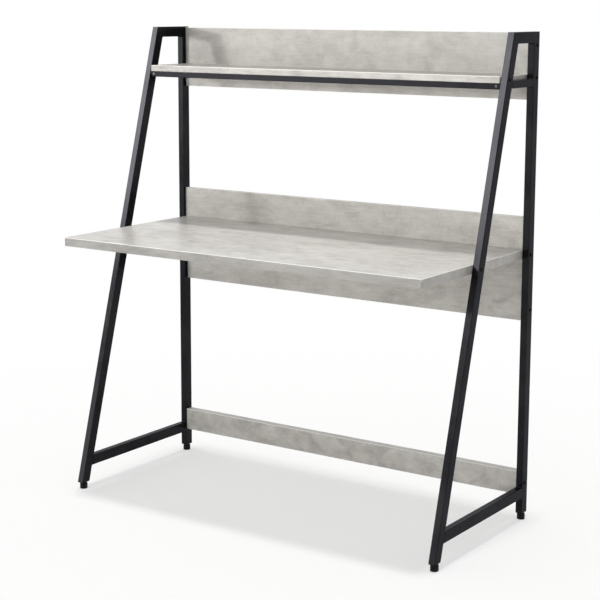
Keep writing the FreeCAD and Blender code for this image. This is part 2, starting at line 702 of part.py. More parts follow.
def make_plug(label, x, front, rear, wall):
    """A plug that fills a tube's end, with its rim below the tube and an upright threaded hole."""
    low = f"({TUBE_END} - {size('plug_flange')})"
    high = f"({TUBE_END} + {size('plug_height')})"
    slack = size("plug_clearance")
    inset = f"({wall} + {slack})"
    body = make_body(label, x)
    rim = make_sketch(body, "rim", "YZ_Plane")
    corners = [(front(low), low), (rear(low), low), (rear(TUBE_END), TUBE_END), (front(TUBE_END), TUBE_END)]
    draw_outline(rim, corners)
    plate = add_pad(body, rim, WIDTH)
    run = Vector(0, number(front(high)) - number(front(low)), number(high) - number(low))
    add_chamfer(body, plate, edges_along(plate.Shape, run.normalize()), size("tube_corner"))
    core = make_sketch(body, "core", "YZ_Plane")
    corners = [(f"{front(TUBE_END)} + {inset}", TUBE_END), (f"{rear(TUBE_END)} - {inset}", TUBE_END)]
    corners += [(f"{rear(high)} - {inset}", high), (f"{front(high)} + {inset}", high)]
    draw_outline(core, corners)
    add_pad(body, core, f"{WIDTH} - 2 * {WALL} - 2 * {slack}")
    hole = make_sketch(body, "thread", "XY_Plane", TUBE_END)
    draw_circles(hole, [("0", f"({front(TUBE_END)} + {rear(TUBE_END)}) / 2")], STUD_HOLE)
    add_pocket(body, hole, f"4 * {size('plug_height')}")
    return keep(body)


def post_front(height):
    """The y of the post's front face, the same at every height."""
    return f"-{DEPTH}"


def post_rear(height):
    """The y of the post's rear face, the same at every height."""
    return "0"


def make_foot_pad(label, x, y):
    """The pad: a drum with a neck, bored for its stud."""
    rim = f"({size('foot_diameter')} / 2)"
    height = size("foot_pad_height")
    neck = f"({size('foot_neck_diameter')} / 2)"
    top = f"({height} + {size('foot_neck_height')})"
    floor = size("foot_floor")
    body = make_body(label, x, y)
    half = make_sketch(body, "half", "XZ_Plane")
    outline = [("0", "0"), (rim, "0"), (rim, height), (neck, height), (neck, top)]
    outline += [(STUD_HOLE, top), (STUD_HOLE, floor), ("0", floor)]
    draw_outline(half, outline)
    add_revolution(body, half, "Z_Axis")
    return keep(body)


def make_foot_stud(label, x, y):
    """The stud: a threaded rod moulded into the pad, standing on the pad's floor."""
    top = f"({TUBE_END} + {size('stud_reach')})"
    body = make_body(label, x, y)
    half = make_sketch(body, "half", "XZ_Plane")
    draw_outline(half, rectangle("0", f"{size('stud_diameter')} / 2", size("foot_floor"), top))
    add_revolution(body, half, "Z_Axis")
    return keep(body)


def make_feet():
    """A plug, a pad and a stud at the end of each leg and post."""
    rows = (
        ("front", leg_front, leg_rear, LEG_WALL),
        ("rear", post_front, post_rear, WALL),
    )
    for side, x in SIDES:
        for row, front, rear, wall in rows:
            middle = f"{REAR_Y} + ({front(TUBE_END)} + {rear(TUBE_END)}) / 2"
            make_plug(f"{side}_{row}_plug", x, front, rear, wall)
            make_foot_pad(f"{side}_{row}_foot_pad", x, middle)
            make_foot_stud(f"{side}_{row}_foot_stud", x, middle)


# ---------------------------------------------------------------------------------------------------
# Build, check and write


def check_document():
    """Stop if any object failed or any part has no valid shape."""
    doc.recompute()
    for item in doc.Objects:
        if "Invalid" in item.State or "Error" in item.State:
            raise RuntimeError(f"{item.Name} failed: {item.State}")
    for item in parts:
        if item.Shape.isNull() or not item.Shape.isValid():
            raise RuntimeError(f"{item.Label} has no valid shape")


def write_parts():
    """Write one STEP file for each part."""
    os.makedirs("parts", exist_ok=True)
    for item in parts:
        item.Shape.exportStep(os.path.join("parts", f"{item.Label}.step"))
        print(f"{item.Label}: {len(item.Shape.Solids)} solid, {item.Shape.Volume / 1000:.2f} cm3")


make_side_frames()
make_desktop()
make_upper_shelf()
make_upper_back_panel()
make_backsplash()
make_modesty_panel()
make_lower_stretcher()
make_front_rail()
make_end_fasteners()
make_rail_fasteners()
make_board_fasteners()
make_feet()
check_document()
write_parts()
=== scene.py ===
"""Ladder desk: two black powder-coated ladder frames of steel tube that carry laminate boards.

The packed frame gives every place and size. The operators below dress it: banded boards, weld beads,
bolts with sockets, screws with cross recesses, moulded feet, and the finishes of all of them.
"""

import math
from functools import cache
from typing import NamedTuple

import bmesh
import bpy
from bpy.props import FloatProperty, FloatVectorProperty, PointerProperty
from mathutils import Matrix, Vector


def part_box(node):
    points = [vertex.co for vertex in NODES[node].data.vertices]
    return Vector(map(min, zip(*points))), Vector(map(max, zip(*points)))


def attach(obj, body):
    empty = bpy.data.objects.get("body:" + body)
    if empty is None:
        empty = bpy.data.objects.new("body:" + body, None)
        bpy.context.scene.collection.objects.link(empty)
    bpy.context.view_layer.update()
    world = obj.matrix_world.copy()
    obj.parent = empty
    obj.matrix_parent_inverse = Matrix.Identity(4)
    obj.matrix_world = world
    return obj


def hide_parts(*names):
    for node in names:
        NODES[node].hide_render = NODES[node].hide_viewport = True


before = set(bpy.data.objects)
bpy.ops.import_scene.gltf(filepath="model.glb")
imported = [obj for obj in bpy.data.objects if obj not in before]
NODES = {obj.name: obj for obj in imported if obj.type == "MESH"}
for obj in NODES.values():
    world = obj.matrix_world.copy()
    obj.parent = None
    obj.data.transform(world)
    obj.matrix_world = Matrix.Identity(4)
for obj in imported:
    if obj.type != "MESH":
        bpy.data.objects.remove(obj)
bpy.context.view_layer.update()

bl_info = {
    "name": "Ladder Desk",
    "version": (1, 0, 0),
    "blender": (4, 5, 0),
    "location": "3D View > Sidebar > Ladder Desk",
    "description": "Dresses the frame of a ladder desk with its boards, fasteners, feet and finishes",
    "category": "Object",
}

DESK_BODY = "desk"
SIDES = ("left", "right")
CORNERS = ("left_front", "left_rear", "right_front", "right_rear")
TUBES = ("front_leg", "rear_post", "top_bar", "shelf_bar", "foot_bar")
FLAT_BOARDS = ("desktop", "upper_shelf")
X_AXIS, Y_AXIS, Z_AXIS = 0, 1, 2
TOUCH = 1e-5  # coordinates nearer than this are the same
FACING = 0.9  # part of a normal along an axis from which a face looks that way
DEAD_FLAT = 0.9999  # the same, for a face that isn't rounded at all
WHITE = (1, 1, 1, 1)
COAT_SHEEN = (0.62, 0.625, 0.64, 1.0)  # how much of a mirror the black finishes are at a grazing look


# ---------------------------------------------------------------------------------------------------
# What a user would change


class LaminateLook(bpy.types.PropertyGroup):
    """Colours and scale of the boards' concrete-look laminate."""

    pale: FloatVectorProperty(
        name="Pale", description="Lightest clouds", subtype="COLOR", size=3, min=0, max=1,
        default=(0.83, 0.808, 0.768))
    middle: FloatVectorProperty(
        name="Middle", description="Ground colour", subtype="COLOR", size=3, min=0, max=1,
        default=(0.63, 0.607, 0.567))
    dark: FloatVectorProperty(
        name="Dark", description="Darkest clouds", subtype="COLOR", size=3, min=0, max=1,
        default=(0.36, 0.343, 0.315))
    cloud_size: FloatProperty(
        name="Cloud size", description="Width of the large clouds", unit="LENGTH", min=0.01,
        default=0.16)
    streak_size: FloatProperty(
        name="Streak size", description="Width of the trowel streaks", unit="LENGTH", min=0.001,
        default=0.007)
    grit_size: FloatProperty(
        name="Grit size", description="Width of the grains of sand", unit="LENGTH", min=0.0005,
        default=0.0036)
    fleck_size: FloatProperty(
        name="Fleck size", description="Width of the pores and flecks", unit="LENGTH", min=0.0005,
        default=0.003)
    roughness: FloatProperty(
        name="Roughness", description="Mean roughness of the laminate", subtype="FACTOR", min=0, max=1,
        default=0.36)


class SteelLook(bpy.types.PropertyGroup):
    """Powder coat of the tubes."""

    coat: FloatVectorProperty(
        name="Coat", description="Colour of the powder coat", subtype="COLOR", size=3, min=0, max=1,
        default=(0.015, 0.0149, 0.0167))
    worn: FloatVectorProperty(
        name="Worn coat", description="Colour where hands have polished the coat", subtype="COLOR",
        size=3, min=0, max=1, default=(0.021, 0.0208, 0.0229))
    roughness: FloatProperty(
        name="Roughness", description="Mean roughness of the coat", subtype="FACTOR", min=0, max=1,
        default=0.23)
    grain_size: FloatProperty(
        name="Grain size", description="Width of the coat's bumps", unit="LENGTH", min=0.0001,
        default=0.0011)


class DetailSizes(bpy.types.PropertyGroup):
    """Sizes of the small features that the frame leaves out."""

    band: FloatProperty(
        name="Edge band", description="Thickness of the edge bands of the thick boards", unit="LENGTH",
        min=0.0002, default=0.002)
    band_corner: FloatProperty(
        name="Band corner", description="Radius of a band round a board's corner", unit="LENGTH",
        min=0.0002, default=0.0025)
    arris: FloatProperty(
        name="Arris", description="Rounding of a band's long edges, at most its thickness",
        unit="LENGTH", min=0.0001, default=0.0018)
    thin: FloatProperty(
        name="Thin band", description="Band, corner and arris of the thin panels, against the others",
        subtype="FACTOR", min=0.1, max=1, default=0.5)
    bead: FloatProperty(
        name="Weld bead", description="Radius of a weld bead", unit="LENGTH", min=0.0005,
        default=0.0021)
    hex_key: FloatProperty(
        name="Hex key", description="Size across flats of a bolt's socket", unit="LENGTH", min=0.001,
        default=0.004)
    socket_depth: FloatProperty(
        name="Socket depth", description="Depth of a bolt's socket", unit="LENGTH", min=0.0005,
        default=0.0016)
    cross_width: FloatProperty(
        name="Cross width", description="Width of one arm of a screw's recess", unit="LENGTH",
        min=0.0002, default=0.0009)


class StudioLook(bpy.types.PropertyGroup):
    """Camera, lamps and floor."""

    camera_place: FloatVectorProperty(
        name="Camera", description="Place of the camera", subtype="TRANSLATION", unit="LENGTH", size=3,
        default=(2.3990, -3.4742, 1.4120))
    camera_turn: FloatProperty(
        name="Turn", description="Turn of the camera to its left", subtype="ANGLE",
        default=math.radians(34.2837))
    camera_drop: FloatProperty(
        name="Drop", description="How far the camera looks down", subtype="ANGLE",
        default=math.radians(9.4022))
    camera_roll: FloatProperty(
        name="Roll", description="Roll of the camera", subtype="ANGLE", default=math.radians(0.1843))
    lens: FloatProperty(
        name="Lens", description="Focal length for a 36 mm sensor", unit="CAMERA", default=92.695)
    rise: FloatProperty(
        name="Lens shift", description="Vertical shift of the lens, as a share of the frame",
        default=-0.07)
    sky: FloatProperty(
        name="Fill", description="Mean strength of the soft light from all round", min=0, default=0.58)
    sky_lean: FloatProperty(
        name="Fill lean", description="How much stronger the soft light is from the left than the mean",
        subtype="FACTOR", min=0, max=1, default=0.4)
    sun: FloatProperty(
        name="Overhead lamp", description="Strength of the overhead lamp", min=0, default=1.42)
    key: FloatProperty(
        name="Front lamp", description="Power of the low lamp at the front left", unit="POWER", min=0,
        default=2700.0)
    sheen: FloatProperty(
        name="Soft boxes", description="Power of the soft boxes that gloss mirrors, were they one",
        unit="POWER", min=0, default=470.0)
    floor: FloatVectorProperty(
        name="Floor", description="Colour of the floor", subtype="COLOR", size=3, min=0, max=1,
        default=(0.95, 0.947, 0.94))
    floor_glow: FloatProperty(
        name="Floor white", description="Share of the floor that shows as plain white",
        subtype="FACTOR", min=0, max=1, default=0.52)


SETTINGS = {
    "ladder_desk_laminate": LaminateLook,
    "ladder_desk_steel": SteelLook,
    "ladder_desk_details": DetailSizes,
    "ladder_desk_studio": StudioLook,
}


def settings(part):
    """The scene's values of one property group."""
    return getattr(bpy.context.scene, f"ladder_desk_{part}")


# ---------------------------------------------------------------------------------------------------
# Modelling by operator


def deselect():
    """Leave nothing selected, because an operator acts on all that is."""
    bpy.ops.object.select_all(action="DESELECT")


def activate(piece):
    """Select one piece alone and make it the active one."""
    deselect()
    piece.select_set(True)
    bpy.context.view_layer.objects.active = piece


def settle(piece, name):
    """Name a new piece and put its place, turn and scale into its mesh."""
    piece.name = name
    piece.data.name = name
    activate(piece)
    bpy.ops.object.transform_apply(location=True, rotation=True, scale=True)
    return piece


def add_block(name, low, high):
    """A block from its lowest to its highest corner."""
    low, high = Vector(low), Vector(high)
    deselect()
    bpy.ops.mesh.primitive_cube_add(size=1, location=(low + high) / 2)
    block = bpy.context.object
    block.scale = high - low
    return settle(block, name)


def add_disc(name, radius, low, high, axis, vertices):
    """A round bar along an axis through the origin."""
    middle = [0.0, 0.0, 0.0]
    middle[axis] = (low + high) / 2
    turn = {X_AXIS: (0, math.pi / 2, 0), Y_AXIS: (math.pi / 2, 0, 0), Z_AXIS: (0, 0, 0)}[axis]
    deselect()
    bpy.ops.mesh.primitive_cylinder_add(
        vertices=vertices, radius=radius, depth=high - low, location=middle, rotation=turn)
    return settle(bpy.context.object, name)


def edit(piece):
    """Open one piece for editing with nothing chosen in it."""
    activate(piece)
    bpy.ops.object.mode_set(mode="EDIT")
    bpy.ops.mesh.select_all(action="DESELECT")


def close(piece):
    """End the editing of a piece."""
    bpy.ops.object.mode_set(mode="OBJECT")
    return piece


def choose_faces(piece, test):
    """Choose the faces whose middle and normal pass a test."""
    bpy.ops.mesh.select_mode(type="FACE")
    bpy.ops.mesh.select_all(action="DESELECT")
    shape = bmesh.from_edit_mesh(piece.data)
    for face in shape.faces:
        face.select_set(test(face.calc_center_median(), face.normal))
    bmesh.update_edit_mesh(piece.data)


def choose_edges(piece, test):
    """Choose the edges whose two ends pass a test."""
    bpy.ops.mesh.select_mode(type="EDGE")
    bpy.ops.mesh.select_all(action="DESELECT")
    shape = bmesh.from_edit_mesh(piece.data)
    for edge in shape.edges:
        edge.select_set(test(edge.verts[0].co, edge.verts[1].co))
    bmesh.update_edit_mesh(piece.data)


def choose_level(piece, axis, *levels):
    """Choose the edges that lie at one of these levels of an axis."""
    choose_edges(piece, lambda a, b: any(
        at_bounds(a[axis], level) and at_bounds(b[axis], level) for level in levels))


def bevel_edges(width, segments):
    """Round the chosen edges."""
    bpy.ops.mesh.bevel(
        offset=width, offset_type="OFFSET", segments=segments, affect="EDGES", profile=0.5)


def finish_with(piece, kind, **values):
    """Add a modifier with these values and apply it."""
    activate(piece)
    modifier = piece.modifiers.new(kind.title(), kind)
    for name, value in values.items():
        setattr(modifier, name, value)
    bpy.ops.object.modifier_apply(modifier=modifier.name)


def cut_away(piece, cutter):
    """Cut the cutter's shape out of a piece and throw the cutter away."""
    finish_with(piece, "BOOLEAN", object=cutter, operation="DIFFERENCE", solver="EXACT")
    activate(cutter)
    bpy.ops.object.delete()
    return piece


def copy_to(piece, name, placement):
    """A copy of a piece, with its own mesh, moved and turned by a matrix."""
    copy = piece.copy()
    copy.data = piece.data.copy()
    copy.name = name
    copy.data.transform(placement)
    bpy.context.scene.collection.objects.link(copy)
    return copy


def join(pieces, name):
    """Join copies into one piece."""
    deselect()
    for piece in pieces:
        piece.select_set(True)
    bpy.context.view_layer.objects.active = pieces[0]
    bpy.ops.object.join()
    pieces[0].name = name
    pieces[0].data.name = name
    return pieces[0]


def place_copies(model, name, placements):
    """Join copies of a model at all its places into one piece and throw the model away."""
    copies = [copy_to(model, f"{name}_{i}", placement) for i, placement in enumerate(placements)]
    activate(model)
    bpy.ops.object.delete()
    return join(copies, name)


def smooth(piece, angle=35):
    """Shade a piece smooth, apart from edges sharper than an angle in degrees."""
    activate(piece)
    bpy.ops.object.shade_smooth_by_angle(angle=math.radians(angle))
    return piece


def keep_flats(piece):
    """Shade the flat faces flat, so that the rounded edges beside them don't bend their light."""
    edit(piece)
    choose_faces(piece, lambda middle, normal: max(abs(part) for part in normal) > DEAD_FLAT)
    bpy.ops.mesh.faces_shade_flat()
    return close(piece)


def dress(piece, material, body):
    """Give a new piece its finish, its body and its slot."""
    piece.data.materials.clear()
    piece.data.materials.append(material)
    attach(piece, body)


def finish_node(node, material):
    """Give a node of the frame its finish."""
    for place in NODES[node].material_slots:
        place.material = material


def at_bounds(value, bound, reach=TOUCH):
    """True where a coordinate lies on a bound."""
    return abs(value - bound) < reach


# ---------------------------------------------------------------------------------------------------
# Shader nodes

GRIT_SHARE = 0.2  # of the grains of sand in the laminate's print
RAMP_ENDS = (0.17, 0.82)  # where in the print the darkest and the palest colour are reached
PORE_STRENGTH = 0.16
ARRIS_HIGHLIGHT_TONE = 1.08  # painted highlight on a rounded upper edge, against the print's palest colour
RELIEF_DEPTH = 0.00006  # of the laminate's streaks and pores
GRAIN_DEPTH = 0.00004  # of powder coat and moulded plastic
METAL_GRAIN_DEPTH = 0.00001


class Wiring:
    """Adds nodes to a tree and links them, so a finish reads as a list of steps."""

    SPACING = 220  # from one node to the next in the editor

    def __init__(self, tree):
        self.tree = tree
        tree.nodes.clear()

    def add(self, kind, inputs=None, **values):
        """Add a node; its inputs, by name or number, are plain values or other nodes' sockets."""
        node = self.tree.nodes.new(kind)
        for name, value in values.items():
            setattr(node, name, value)
        for name, value in (inputs or {}).items():
            self.feed(node.inputs[name], value)
        node.location = (self.SPACING * len(self.tree.nodes), 0)
        return node

    def feed(self, socket, value):
        """Link a socket, or set its value."""
        if isinstance(value, bpy.types.NodeSocket):
            self.tree.links.new(value, socket)
        else:
            socket.default_value = value

    def group(self, tree, inputs):
        """Add a node group with its values."""
        return self.add("ShaderNodeGroup", inputs, node_tree=tree)

    def math(self, operation, *values):
        """One sum of numbers or sockets."""
        return self.add("ShaderNodeMath", dict(enumerate(values)), operation=operation).outputs[0]

    def mix(self, data_type, factor, first, second):
        """Mix two colours or two numbers."""
        inputs = {"Factor": factor, "A": first, "B": second}
        return self.add("ShaderNodeMix", inputs, data_type=data_type).outputs["Result"]

    def mix_color(self, factor, first, second):
        """Mix two colours."""
        return self.mix("RGBA", factor, first, second)

    def mix_value(self, factor, first, second):
        """Mix two numbers."""
        return self.mix("FLOAT", factor, first, second)

    def noise(self, vector, scale, detail, **inputs):
        """A noise texture's value."""
        inputs = {"Vector": vector, "Scale": scale, "Detail": detail, **inputs}
        return self.add("ShaderNodeTexNoise", inputs).outputs[0]

    def spread(self, value, low, high):
        """Stretch a band of values to the whole range from 0 to 1."""
        node = self.add("ShaderNodeMapRange", {"Value": value, "From Min": low, "From Max": high})
        return node.outputs["Result"]


def open_group(name, inputs, outputs):
    """A new node group with named inputs and outputs, and the wiring inside it."""
    group = bpy.data.node_groups.new(name, "ShaderNodeTree")
    for label, (kind, value) in inputs.items():
        socket = group.interface.new_socket(name=label, in_out="INPUT", socket_type=kind)
        if value is not None:
            socket.default_value = value
    for label, kind in outputs.items():
        group.interface.new_socket(name=label, in_out="OUTPUT", socket_type=kind)
    wiring = Wiring(group)
    start = wiring.add("NodeGroupInput")
    return group, wiring, start.outputs


VECTOR = ("NodeSocketVector", None)


def number(value):
    """A number input with its default."""
    return ("NodeSocketFloat", value)


def make_clouds():
    """Soft mottle of one size, longer along X where it is stretched."""
    group, wiring, given = open_group(
        "Soft Clouds",
        {"Vector": VECTOR, "Size": number(0.1), "Stretch": number(1.0), "Detail": number(5.0),
         "Contrast": number(0.5), "Distortion": number(0.3)},
        {"Mask": "NodeSocketFloat"})
    per_metre = wiring.math("DIVIDE", 1.0, given["Size"])
    along = wiring.math("DIVIDE", per_metre, given["Stretch"])
    scale = wiring.add("ShaderNodeCombineXYZ", {"X": along, "Y": per_metre, "Z": per_metre})
    scaled = wiring.add(
        "ShaderNodeVectorMath", {0: given["Vector"], 1: scale.outputs[0]}, operation="MULTIPLY")
    noise = wiring.noise(
        scaled.outputs[0], 1.0, given["Detail"], Roughness=0.58, Distortion=given["Distortion"])
    reach = wiring.math("MULTIPLY", wiring.math("SUBTRACT", 1.0, given["Contrast"]), 0.5)
    low = wiring.math("SUBTRACT", 0.5, reach)
    high = wiring.math("ADD", 0.5, reach)
    mask = wiring.spread(noise, low, high)
    wiring.add("NodeGroupOutput", {"Mask": mask})
    return group


def make_flecks():
    """Small scattered pores."""
    group, wiring, given = open_group(
        "Pores And Flecks",
        {"Vector": VECTOR, "Size": number(0.002), "Coverage": number(0.3)},
        {"Mask": "NodeSocketFloat"})
    per_metre = wiring.math("DIVIDE", 1.0, given["Size"])
    cells = wiring.add("ShaderNodeTexVoronoi", {"Vector": given["Vector"], "Scale": per_metre})
    patches = wiring.noise(given["Vector"], wiring.math("MULTIPLY", per_metre, 0.13), 2.0)
    rim, pit, thick = 0.42, 0.12, 0.72
    near = wiring.spread(cells.outputs["Distance"], rim, pit)
    thin = wiring.math("SUBTRACT", thick, given["Coverage"])
    mask = wiring.math("MULTIPLY", near, wiring.spread(patches, thin, thick))
    wiring.add("NodeGroupOutput", {"Mask": mask})
    return group


def make_coat_grain():
    """Fine bumps of a sprayed or moulded surface, with a slower wave under them."""
    group, wiring, given = open_group(
        "Coat Grain",
        {"Vector": VECTOR, "Size": number(0.001)},
        {"Height": "NodeSocketFloat"})
    per_metre = wiring.math("DIVIDE", 1.0, given["Size"])
    fine = wiring.noise(given["Vector"], per_metre, 3.0, Roughness=0.6)
    wave = wiring.noise(given["Vector"], wiring.math("MULTIPLY", per_metre, 0.12), 1.0)
    wiring.add("NodeGroupOutput", {"Height": wiring.mix_value(0.35, fine, wave)})
    return group


def make_handling():
    """Uneven sheen that hands and cloths leave, as a mask and as a roughness."""
    group, wiring, given = open_group(
        "Handling Marks",
        {"Vector": VECTOR, "Size": number(0.08), "Roughness": number(0.45), "Unevenness": number(0.08)},
        {"Mask": "NodeSocketFloat", "Roughness": "NodeSocketFloat"})
    per_metre = wiring.math("DIVIDE", 1.0, given["Size"])
    smears = wiring.noise(given["Vector"], per_metre, 4.0, Distortion=0.8)
    mask = wiring.spread(smears, 0.38, 0.64)
    centred = wiring.math("SUBTRACT", mask, 0.5)
    change = wiring.math("MULTIPLY", centred, given["Unevenness"])
    roughness = wiring.math("ADD", given["Roughness"], change)
    wiring.add("NodeGroupOutput", {"Mask": mask, "Roughness": roughness})
    return group


def make_arris_highlight():
    """A mask for the painted highlight on the rounded upper edges: 1 where the surface faces up and
    out, 0 on flat faces.
    """
    group, wiring, given = open_group(
        "Painted Arris Highlight", {"Normal": VECTOR}, {"Mask": "NodeSocketFloat"})
    parts = wiring.add("ShaderNodeSeparateXYZ", {"Vector": given["Normal"]}).outputs
    out = wiring.math("ADD", *[wiring.math("ABSOLUTE", part) for part in parts[:2]])
    both = wiring.math("MULTIPLY", out, parts[2])
    wiring.add("NodeGroupOutput", {"Mask": wiring.spread(both, 0.02, 0.24)})
    return group


@cache
def effect(name):
    """A shared effect, built the first time it is asked for."""
    makers = {
        "clouds": make_clouds, "flecks": make_flecks, "coat grain": make_coat_grain,
        "handling": make_handling, "arris": make_arris_highlight,
    }
    return makers[name]()


def open_material(name):
    """A new material, the wiring inside it, and its Object coordinates."""
    material = bpy.data.materials.new(name)
    material.use_nodes = True
    wiring = Wiring(material.node_tree)
    place = wiring.add("ShaderNodeTexCoord").outputs["Object"]
    return material, wiring, place


def close_material(wiring, inputs):
    """The shader itself and the material's output."""
    shader = wiring.add("ShaderNodeBsdfPrincipled", inputs)
    wiring.add("ShaderNodeOutputMaterial", {"Surface": shader.outputs[0]})


def bump(wiring, height, depth):
    """A bump of a real depth in metres."""
    node = wiring.add("ShaderNodeBump", {"Height": height, "Distance": depth, "Strength": 1.0})
    return node.outputs["Normal"]


def color(value):
    """A colour with full alpha."""
    return (*value, 1.0)


class BoardPrint(NamedTuple):
    """How the laminate's print lies on one piece."""

    tone: float  # of all its colours, against the laminate's own; painted light and shade that lightens or darkens the board to its brightness in the light
    contrast: float  # of its dark and pale clouds against the ground colour
    streaks: float  # share of the fine streaks
    patches: float  # share of the small patches against the large clouds
    stretch: float  # length of a patch against its width
    gloss: float = 0.5


def clouds(wiring, place, size, stretch, detail, contrast, distortion):
    """A mask of soft clouds."""
    return wiring.group(effect("clouds"), {
        "Vector": place, "Size": size, "Stretch": stretch, "Detail": detail, "Contrast": contrast,
        "Distortion": distortion}).outputs["Mask"]


def make_mottle(wiring, place, look, board_print):
    """The print's mask, from dark to pale, and its streaks alone."""
    large = clouds(wiring, place, look.cloud_size, 1.5, 6.0, 0.38, 0.6)
    patches = clouds(wiring, place, look.cloud_size / 4, board_print.stretch, 7.0, 0.58, 0.4)
    streaks = clouds(wiring, place, look.streak_size, 6.0, 4.0, 0.48, 0.1)
    grit = clouds(wiring, place, look.grit_size, 1.6, 2.0, 0.3, 0.0)
    mottle = wiring.mix_value(board_print.patches, large, patches)
    mottle = wiring.mix_value(board_print.streaks, mottle, streaks)
    return wiring.mix_value(GRIT_SHARE, mottle, grit), streaks


def make_laminate(name, shift, board_print):
    """Concrete-look laminate; shift moves the print so that no two boards match, and the print's tone
    lightens or darkens the board as painted light and shade.
    """
    look = settings("laminate")
    tone, contrast = board_print.tone, board_print.contrast
    material, wiring, place = open_material(name)
    print_place = wiring.add("ShaderNodeMapping", {"Vector": place, "Location": shift}).outputs[0]
    mottle, streaks = make_mottle(wiring, print_place, look, board_print)
    flecks = wiring.group(effect("flecks"), {
        "Vector": print_place, "Size": look.fleck_size, "Coverage": 0.3}).outputs["Mask"]

    ramp = wiring.add("ShaderNodeValToRGB", {"Fac": mottle})
    stops = ramp.color_ramp.elements
    for stop, position, end in zip(stops, RAMP_ENDS, (look.dark, look.pale)):
        stop.position = position
        stop.color = color([tone * (m + contrast * (c - m)) for c, m in zip(end, look.middle)])
    stops.new(0.5).color = color([c * tone for c in look.middle])
    pores = wiring.math("MULTIPLY", flecks, PORE_STRENGTH)
    shade = wiring.mix_color(pores, ramp.outputs["Color"], color([c * tone * 0.5 for c in look.dark]))
    normal = wiring.add("ShaderNodeNewGeometry").outputs["Normal"]
    # the rounded upper edges get a painted highlight, paler than the print
    arris = wiring.group(effect("arris"), {"Normal": normal}).outputs["Mask"]
    shade = wiring.mix_color(arris, shade, color([c * ARRIS_HIGHLIGHT_TONE for c in look.pale]))

    marks = wiring.group(effect("handling"), {
        "Vector": place, "Size": 0.09, "Roughness": look.roughness, "Unevenness": 0.10})
    relief = wiring.mix_value(0.5, streaks, flecks)
    close_material(wiring, {
        "Base Color": shade, "Roughness": marks.outputs["Roughness"],
        "Normal": bump(wiring, relief, RELIEF_DEPTH), "Specular IOR Level": board_print.gloss})
    return material


def make_grained(name, bright, dull, marks, grain_size, grain_depth, **shader_values):
    """A finish of two tones with handling marks (their size, roughness and unevenness) and a grain."""
    material, wiring, place = open_material(name)
    handling = wiring.group(effect("handling"), {
        "Vector": place, "Size": marks[0], "Roughness": marks[1], "Unevenness": marks[2]}).outputs
    grain = wiring.group(effect("coat grain"), {"Vector": place, "Size": grain_size}).outputs[0]
    close_material(wiring, {
        "Base Color": wiring.mix_color(handling["Mask"], color(bright), color(dull)),
        "Roughness": handling["Roughness"], "Normal": bump(wiring, grain, grain_depth),
        **{label.replace("_", " "): value for label, value in shader_values.items()}})
    return material


def make_powder_coat(name):
    """Satin black powder coat."""
    look = settings("steel")
    return make_grained(
        name, look.coat, look.worn, (0.12, look.roughness, 0.06), look.grain_size, GRAIN_DEPTH,
        Metallic=1.0, Specular_Tint=COAT_SHEEN)


def make_metal(name, bright, dull, roughness, unevenness, grain_size, sheen=WHITE):
    """Plated or oxidised metal of a fastener."""
    return make_grained(
        name, bright, dull, (0.006, roughness, unevenness), grain_size, METAL_GRAIN_DEPTH,
        Metallic=1.0, Specular_Tint=sheen)


def make_plastic(name, tone, roughness):
    """Moulded black plastic with a fine spark-eroded grain and a trace of dust."""
    dust = [c * 1.6 for c in tone]
    return make_grained(
        name, tone, dust, (0.012, roughness, 0.12), 0.0006, GRAIN_DEPTH, Specular_IOR_Level=0.12)


def make_beech(name):
    """Pale beech of the dowels, with its grain along Z."""
    material, wiring, place = open_material(name)
    lengthways = wiring.add("ShaderNodeMapping", {"Vector": place, "Scale": (900, 900, 60)})
    grain = wiring.noise(lengthways.outputs[0], 1.0, 4.0)
    shade = wiring.mix_color(grain, (0.52, 0.34, 0.19, 1), (0.68, 0.49, 0.30, 1))
    close_material(wiring, {
        "Base Color": shade, "Roughness": wiring.mix_value(grain, 0.5, 0.7),
        "Normal": bump(wiring, grain, 0.00005)})
    return material


@cache
def finish(name):
    """A finish that several pieces share, built the first time it is asked for."""
    makers = {
        "frame_steel": lambda: make_powder_coat("powder_coat_black"),
        "bolt_black": lambda: make_metal(
            "black_oxide", (0.018, 0.018, 0.020), (0.03, 0.0295, 0.0285), 0.4, 0.14, 0.0004,
            COAT_SHEEN),
        "screw_bright": lambda: make_metal(
            "bright_zinc", (0.22, 0.223, 0.235), (0.12, 0.123, 0.135), 0.36, 0.12, 0.0005),
        "insert_zinc": lambda: make_metal(
            "yellow_zinc", (0.62, 0.60, 0.54), (0.50, 0.44, 0.30), 0.38, 0.15, 0.0006),
        "stud_steel": lambda: make_metal(
            "stud_zinc", (0.58, 0.58, 0.60), (0.42, 0.42, 0.44), 0.34, 0.12, 0.0005),
        "foot_plastic": lambda: make_plastic("moulded_foot_black", (0.006, 0.006, 0.0066), 0.45),
        "plug_plastic": lambda: make_plastic("moulded_plug_black", (0.010, 0.010, 0.011), 0.55),
        "dowel_beech": lambda: make_beech("beech_dowel"),
    }
    return makers[name]()


# ---------------------------------------------------------------------------------------------------
# Boards

# The tones are painted light and shade: the shelf's sheet is darkened as painted shade on its top, the
# modesty panel as painted shade under the desktop.
PRINTS = {
    "desktop": BoardPrint(0.98, 1.2, 0.4, 0.4, 1.6),
    "upper_shelf": BoardPrint(0.52, 0.9, 0.22, 0.5, 1.6, 0.06),
    "upper_back_panel": BoardPrint(0.955, 0.7, 0.25, 0.55, 1.3),
    "backsplash": BoardPrint(1.04, 0.9, 0.28, 0.45, 1.5),
    "modesty_panel": BoardPrint(0.785, 1.0, 0.28, 0.5, 1.6),
    "lower_stretcher": BoardPrint(1.02, 1.0, 0.12, 0.65, 1.4),
}
